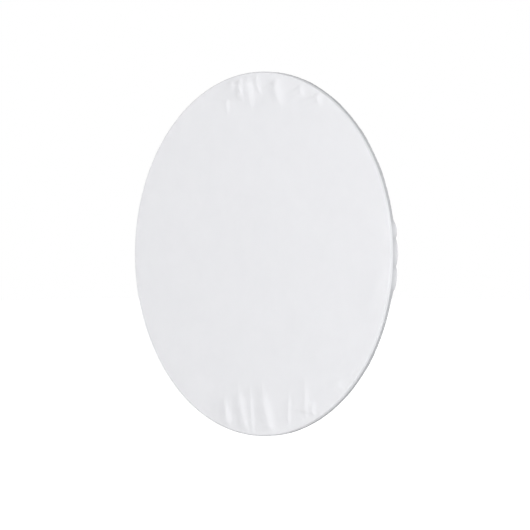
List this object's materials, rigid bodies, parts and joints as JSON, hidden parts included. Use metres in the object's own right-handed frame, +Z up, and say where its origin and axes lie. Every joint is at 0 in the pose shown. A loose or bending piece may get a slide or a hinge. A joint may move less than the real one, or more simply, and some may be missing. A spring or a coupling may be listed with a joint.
{
  "type": "collapsible reflector dish",
  "caption": "Shallow round studio reflector dish with a white stretch diffuser over its rim, a rotating bayonet hub and telescopic stays that let the dish fold flat.",
  "frame": {"origin": "centre of the rear seat plane, on the optical axis", "axes": "+Z up, light leaves along -Y, +Y points back at the flash, +X to the right seen from the front camera side"},
  "size_m": [0.6999, 0.178, 0.7],
  "materials": {
    "black_casting": "die cast, black powder coat",
    "bayonet_steel": "turned",
    "fastener_steel": "zinc plated",
    "spring_steel": "oiled",
    "natural_nylon": "turned",
    "black_plastic": "fine spark texture",
    "black_anodised_tube": "black anodised",
    "bright_aluminium": "clear anodised",
    "white_enamel": "satin",
    "shell_cloth": "coated black polyester",
    "lining_cloth": "silver coated polyester",
    "cover_cloth": "white stretch diffusion knit",
    "cover_elastic": "white woven elastic"
  },
  "bodies": {
    "mount": {"mount_body": "black_casting", "bayonet_ring": "bayonet_steel", "bayonet_screws": "fastener_steel", "guide_bushes": "natural_nylon", "retaining_circlip": "spring_steel", "rotation_bush": "natural_nylon", "glide_washer": "natural_nylon"},
    "hub": {"hub_housing": "black_casting", "clamp_ring": "black_casting", "clamp_screws": "fastener_steel", "hub_hinge_pins": "fastener_steel", "outer_shell": "shell_cloth", "inner_lining": "lining_cloth"},
    "knob": {"lock_knob": "black_plastic", "knob_stud": "fastener_steel"},
    "deflector": {"deflector_plate": "white_enamel", "deflector_posts": "bright_aluminium", "deflector_nuts": "fastener_steel"},
    "rim": {"rim_band": "bright_aluminium", "rim_sleeve": "shell_cloth", "rim_brackets": "black_plastic", "rim_rivets": "bright_aluminium"},
    "cover": {"cover_face": "cover_cloth", "cover_skirt": "cover_cloth", "hem_elastic": "cover_elastic"},
    "stay_1_outer": {"stay_foot_1": "black_plastic", "stay_tube_1": "black_anodised_tube"},
    "stay_1_inner": {"stay_rod_1": "bright_aluminium", "stay_tip_1": "black_plastic"},
    "stay_1_lock": {"stay_collar_1": "black_plastic"},
    "stay_2_outer": {"stay_foot_2": "black_plastic", "stay_tube_2": "black_anodised_tube"},
    "stay_2_inner": {"stay_rod_2": "bright_aluminium", "stay_tip_2": "black_plastic"},
    "stay_2_lock": {"stay_collar_2": "black_plastic"},
    "stay_3_outer": {"stay_foot_3": "black_plastic", "stay_tube_3": "black_anodised_tube"},
    "stay_3_inner": {"stay_rod_3": "bright_aluminium", "stay_tip_3": "black_plastic"},
    "stay_3_lock": {"stay_collar_3": "black_plastic"},
    "stay_4_outer": {"stay_foot_4": "black_plastic", "stay_tube_4": "black_anodised_tube"},
    "stay_4_inner": {"stay_rod_4": "bright_aluminium", "stay_tip_4": "black_plastic"},
    "stay_4_lock": {"stay_collar_4": "black_plastic"},
    "stay_5_outer": {"stay_foot_5": "black_plastic", "stay_tube_5": "black_anodised_tube"},
    "stay_5_inner": {"stay_rod_5": "bright_aluminium", "stay_tip_5": "black_plastic"},
    "stay_5_lock": {"stay_collar_5": "black_plastic"},
    "stay_6_outer": {"stay_foot_6": "black_plastic", "stay_tube_6": "black_anodised_tube"},
    "stay_6_inner": {"stay_rod_6": "bright_aluminium", "stay_tip_6": "black_plastic"},
    "stay_6_lock": {"stay_collar_6": "black_plastic"}
  },
  "joints": [
    {"name": "mount_rotation", "type": "hinge", "parent": "mount", "child": "hub", "pos_m": [0, 0, 0], "axis": [0, 1, 0], "continuous": true},
    {"name": "rotation_lock", "type": "hinge", "parent": "hub", "child": "knob", "pos_m": [0.1, -0.014, 0], "axis": [1, 0, 0], "range_deg": [0, 180]},
    {"name": "dish_collapse", "type": "slide", "parent": "hub", "child": "rim", "axis": [0, 1, 0], "range_m": [0, 0.103], "deforming": ["outer_shell", "inner_lining"]},
    {"name": "deflector_slide", "type": "slide", "parent": "mount", "child": "deflector", "axis": [0, 1, 0], "range_m": [0, 0.024]},
    {"name": "cover_off", "type": "slide", "parent": "rim", "child": "cover", "axis": [0, -1, 0], "range_m": [0, 0.12], "deforming": ["cover_skirt", "hem_elastic"]},
    {"name": "stay_1_fold", "type": "hinge", "parent": "hub", "child": "stay_1_outer", "pos_m": [0.08574, -0.014, 0.0495], "axis": [-0.5, 0, 0.866], "range_deg": [0, 26.09]},
    {"name": "stay_1_extend", "type": "slide", "parent": "stay_1_outer", "child": "stay_1_inner", "axis": [0.7624, -0.4744, 0.4402], "range_m": [-0.02785, 0]},
    {"name": "stay_1_twist_lock", "type": "hinge", "parent": "stay_1_outer", "child": "stay_1_lock", "pos_m": [0.19933, -0.08468, 0.11509], "axis": [0.7624, -0.4744, 0.4402], "range_deg": [0, 90]},
    {"name": "stay_2_fold", "type": "hinge", "parent": "hub", "child": "stay_2_outer", "pos_m": [0, -0.014, 0.099], "axis": [-1, 0, 0], "range_deg": [0, 26.09]},
    {"name": "stay_2_extend", "type": "slide", "parent": "stay_2_outer", "child": "stay_2_inner", "axis": [0, -0.4744, 0.8803], "range_m": [-0.02785, 0]},
    {"name": "stay_2_twist_lock", "type": "hinge", "parent": "stay_2_outer", "child": "stay_2_lock", "pos_m": [0, -0.08468, 0.23017], "axis": [0, -0.4744, 0.8803], "range_deg": [0, 90]},
    {"name": "stay_3_fold", "type": "hinge", "parent": "hub", "child": "stay_3_outer", "pos_m": [-0.08574, -0.014, 0.0495], "axis": [-0.5, 0, -0.866], "range_deg": [0, 26.09]},
    {"name": "stay_3_extend", "type": "slide", "parent": "stay_3_outer", "child": "stay_3_inner", "axis": [-0.7624, -0.4744, 0.4402], "range_m": [-0.02785, 0]},
    {"name": "stay_3_twist_lock", "type": "hinge", "parent": "stay_3_outer", "child": "stay_3_lock", "pos_m": [-0.19933, -0.08468, 0.11509], "axis": [-0.7624, -0.4744, 0.4402], "range_deg": [0, 90]},
    {"name": "stay_4_fold", "type": "hinge", "parent": "hub", "child": "stay_4_outer", "pos_m": [-0.08574, -0.014, -0.0495], "axis": [0.5, 0, -0.866], "range_deg": [0, 26.09]},
    {"name": "stay_4_extend", "type": "slide", "parent": "stay_4_outer", "child": "stay_4_inner", "axis": [-0.7624, -0.4744, -0.4402], "range_m": [-0.02785, 0]},
    {"name": "stay_4_twist_lock", "type": "hinge", "parent": "stay_4_outer", "child": "stay_4_lock", "pos_m": [-0.19933, -0.08468, -0.11509], "axis": [-0.7624, -0.4744, -0.4402], "range_deg": [0, 90]},
    {"name": "stay_5_fold", "type": "hinge", "parent": "hub", "child": "stay_5_outer", "pos_m": [0, -0.014, -0.099], "axis": [1, 0, 0], "range_deg": [0, 26.09]},
    {"name": "stay_5_extend", "type": "slide", "parent": "stay_5_outer", "child": "stay_5_inner", "axis": [0, -0.4744, -0.8803], "range_m": [-0.02785, 0]},
    {"name": "stay_5_twist_lock", "type": "hinge", "parent": "stay_5_outer", "child": "stay_5_lock", "pos_m": [0, -0.08468, -0.23017], "axis": [0, -0.4744, -0.8803], "range_deg": [0, 90]},
    {"name": "stay_6_fold", "type": "hinge", "parent": "hub", "child": "stay_6_outer", "pos_m": [0.08574, -0.014, -0.0495], "axis": [0.5, 0, 0.866], "range_deg": [0, 26.09]},
    {"name": "stay_6_extend", "type": "slide", "parent": "stay_6_outer", "child": "stay_6_inner", "axis": [0.7624, -0.4744, -0.4402], "range_m": [-0.02785, 0]},
    {"name": "stay_6_twist_lock", "type": "hinge", "parent": "stay_6_outer", "child": "stay_6_lock", "pos_m": [0.19933, -0.08468, -0.11509], "axis": [0.7624, -0.4744, -0.4402], "range_deg": [0, 90]}
  ],
  "couplings": [
    {"joint": "deflector_slide", "follows": "dish_collapse", "ratio": 0.23301},
    {"joint": "stay_1_fold", "follows": "dish_collapse", "rad_per_m": 4.4215},
    {"joint": "stay_1_extend", "follows": "dish_collapse", "ratio": -0.27036},
    {"joint": "stay_2_fold", "follows": "dish_collapse", "rad_per_m": 4.4215},
    {"joint": "stay_2_extend", "follows": "dish_collapse", "ratio": -0.27036},
    {"joint": "stay_3_fold", "follows": "dish_collapse", "rad_per_m": 4.4215},
    {"joint": "stay_3_extend", "follows": "dish_collapse", "ratio": -0.27036},
    {"joint": "stay_4_fold", "follows": "dish_collapse", "rad_per_m": 4.4215},
    {"joint": "stay_4_extend", "follows": "dish_collapse", "ratio": -0.27036},
    {"joint": "stay_5_fold", "follows": "dish_collapse", "rad_per_m": 4.4215},
    {"joint": "stay_5_extend", "follows": "dish_collapse", "ratio": -0.27036},
    {"joint": "stay_6_fold", "follows": "dish_collapse", "rad_per_m": 4.4215},
    {"joint": "stay_6_extend", "follows": "dish_collapse", "ratio": -0.27036}
  ]
}
